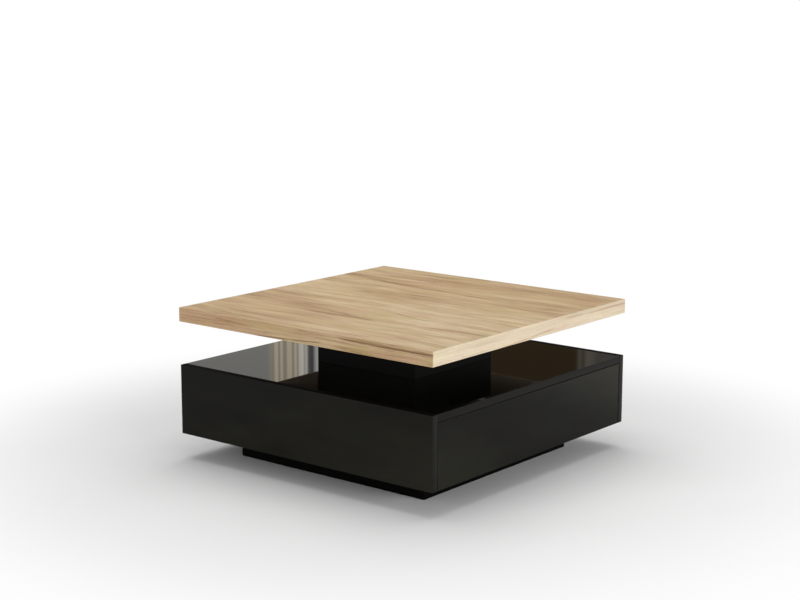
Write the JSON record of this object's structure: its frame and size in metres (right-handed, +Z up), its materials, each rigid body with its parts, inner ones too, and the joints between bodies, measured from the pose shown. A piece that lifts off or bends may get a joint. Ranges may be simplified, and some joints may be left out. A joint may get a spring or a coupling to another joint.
{
  "type": "swivel coffee table",
  "caption": "Square coffee table with a thick oak-decor top that swivels on a central bearing above a gloss black body with inset drawers, on a recessed plinth.",
  "frame": {"origin": "on the floor, under the middle of the table", "axes": "+Z up; the front drawer opens along -Y and the back drawer along +Y; the plain side panels face -X and +X"},
  "size_m": [0.8, 0.8, 0.387],
  "materials": {
    "oak_decor": "satin light brown oak decor with long fine dark grain",
    "gloss_black": "high-gloss black lacquered board with matt edge bands",
    "satin_black_board": "satin black faced board",
    "matt_black_board": "matt black faced board",
    "drawer_board": "dark grey faced drawer board, fine linen pore",
    "raw_softwood": "plain planed softwood and beech",
    "zinc_steel": "bright zinc-plated steel",
    "ball_steel": "polished bearing steel in zinc-plated strips",
    "cast_zinc": "dull die-cast zinc",
    "floor_plastic": "black polyethylene",
    "black_rubber": "soft black rubber"
  },
  "bodies": {
    "base": {"back_drawer_cabinet_rails": "zinc_steel", "bearing_lower_plate": "zinc_steel", "bearing_lower_screws": "zinc_steel", "body_cam_bolts": "zinc_steel", "body_cams": "cast_zinc", "bottom_panel": "matt_black_board", "cabinet_rail_screws": "zinc_steel", "centre_partition": "matt_black_board", "dowels": "raw_softwood", "drawer_buffers": "black_rubber", "floor_glides": "floor_plastic", "front_drawer_cabinet_rails": "zinc_steel", "plinth_back": "matt_black_board", "plinth_corner_blocks": "raw_softwood", "plinth_cross_rail": "matt_black_board", "plinth_front": "matt_black_board", "plinth_left": "matt_black_board", "plinth_right": "matt_black_board", "plinth_screws": "zinc_steel", "side_panel_left": "gloss_black", "side_panel_right": "gloss_black", "spacer_back": "satin_black_board", "spacer_front": "satin_black_board", "spacer_left": "satin_black_board", "spacer_posts": "raw_softwood", "spacer_right": "satin_black_board", "spacer_screws": "zinc_steel", "spacer_top_board": "satin_black_board", "top_panel": "gloss_black"},
    "tabletop": {"tabletop_board": "oak_decor", "edge_band_left": "oak_decor", "edge_band_right": "oak_decor", "edge_band_front": "oak_decor", "edge_band_back": "oak_decor", "bearing_upper_plate": "zinc_steel", "bearing_upper_screws": "zinc_steel"},
    "ball_ring": {"bearing_ball_cage": "zinc_steel", "bearing_balls": "ball_steel"},
    "front_drawer": {"front_drawer_front": "gloss_black", "front_drawer_left_side": "drawer_board", "front_drawer_right_side": "drawer_board", "front_drawer_back": "drawer_board", "front_drawer_floor": "drawer_board", "front_drawer_cams": "cast_zinc", "front_drawer_screws": "zinc_steel", "front_drawer_box_rails": "zinc_steel"},
    "front_middle_rails": {"front_drawer_middle_rails": "zinc_steel"},
    "front_outer_balls": {"front_drawer_outer_ball_strips": "ball_steel"},
    "front_inner_balls": {"front_drawer_inner_ball_strips": "ball_steel"},
    "back_drawer": {"back_drawer_front": "gloss_black", "back_drawer_left_side": "drawer_board", "back_drawer_right_side": "drawer_board", "back_drawer_back": "drawer_board", "back_drawer_floor": "drawer_board", "back_drawer_cams": "cast_zinc", "back_drawer_screws": "zinc_steel", "back_drawer_box_rails": "zinc_steel"},
    "back_middle_rails": {"back_drawer_middle_rails": "zinc_steel"},
    "back_outer_balls": {"back_drawer_outer_ball_strips": "ball_steel"},
    "back_inner_balls": {"back_drawer_inner_ball_strips": "ball_steel"}
  },
  "joints": [
    {"name": "tabletop_swivel", "type": "hinge", "parent": "base", "child": "tabletop", "pos_m": [0, 0, 0.351], "axis": [0, 0, 1], "continuous": true},
    {"name": "ball_ring_turn", "type": "hinge", "parent": "base", "child": "ball_ring", "pos_m": [0, 0, 0.345], "axis": [0, 0, 1], "continuous": true},
    {"name": "front_drawer_slide", "type": "slide", "parent": "base", "child": "front_drawer", "axis": [0, -1, 0], "range_m": [0, 0.3]},
    {"name": "front_middle_rails_slide", "type": "slide", "parent": "base", "child": "front_middle_rails", "axis": [0, -1, 0], "range_m": [0, 0.15]},
    {"name": "front_outer_balls_slide", "type": "slide", "parent": "base", "child": "front_outer_balls", "axis": [0, -1, 0], "range_m": [0, 0.075]},
    {"name": "front_inner_balls_slide", "type": "slide", "parent": "base", "child": "front_inner_balls", "axis": [0, -1, 0], "range_m": [0, 0.225]},
    {"name": "back_drawer_slide", "type": "slide", "parent": "base", "child": "back_drawer", "axis": [0, 1, 0], "range_m": [0, 0.3]},
    {"name": "back_middle_rails_slide", "type": "slide", "parent": "base", "child": "back_middle_rails", "axis": [0, 1, 0], "range_m": [0, 0.15]},
    {"name": "back_outer_balls_slide", "type": "slide", "parent": "base", "child": "back_outer_balls", "axis": [0, 1, 0], "range_m": [0, 0.075]},
    {"name": "back_inner_balls_slide", "type": "slide", "parent": "base", "child": "back_inner_balls", "axis": [0, 1, 0], "range_m": [0, 0.225]}
  ],
  "couplings": [
    {"joint": "ball_ring_turn", "follows": "tabletop_swivel", "ratio": 0.5},
    {"joint": "front_middle_rails_slide", "follows": "front_drawer_slide", "ratio": 0.5},
    {"joint": "front_outer_balls_slide", "follows": "front_drawer_slide", "ratio": 0.25},
    {"joint": "front_inner_balls_slide", "follows": "front_drawer_slide", "ratio": 0.75},
    {"joint": "back_middle_rails_slide", "follows": "back_drawer_slide", "ratio": 0.5},
    {"joint": "back_outer_balls_slide", "follows": "back_drawer_slide", "ratio": 0.25},
    {"joint": "back_inner_balls_slide", "follows": "back_drawer_slide", "ratio": 0.75}
  ]
}
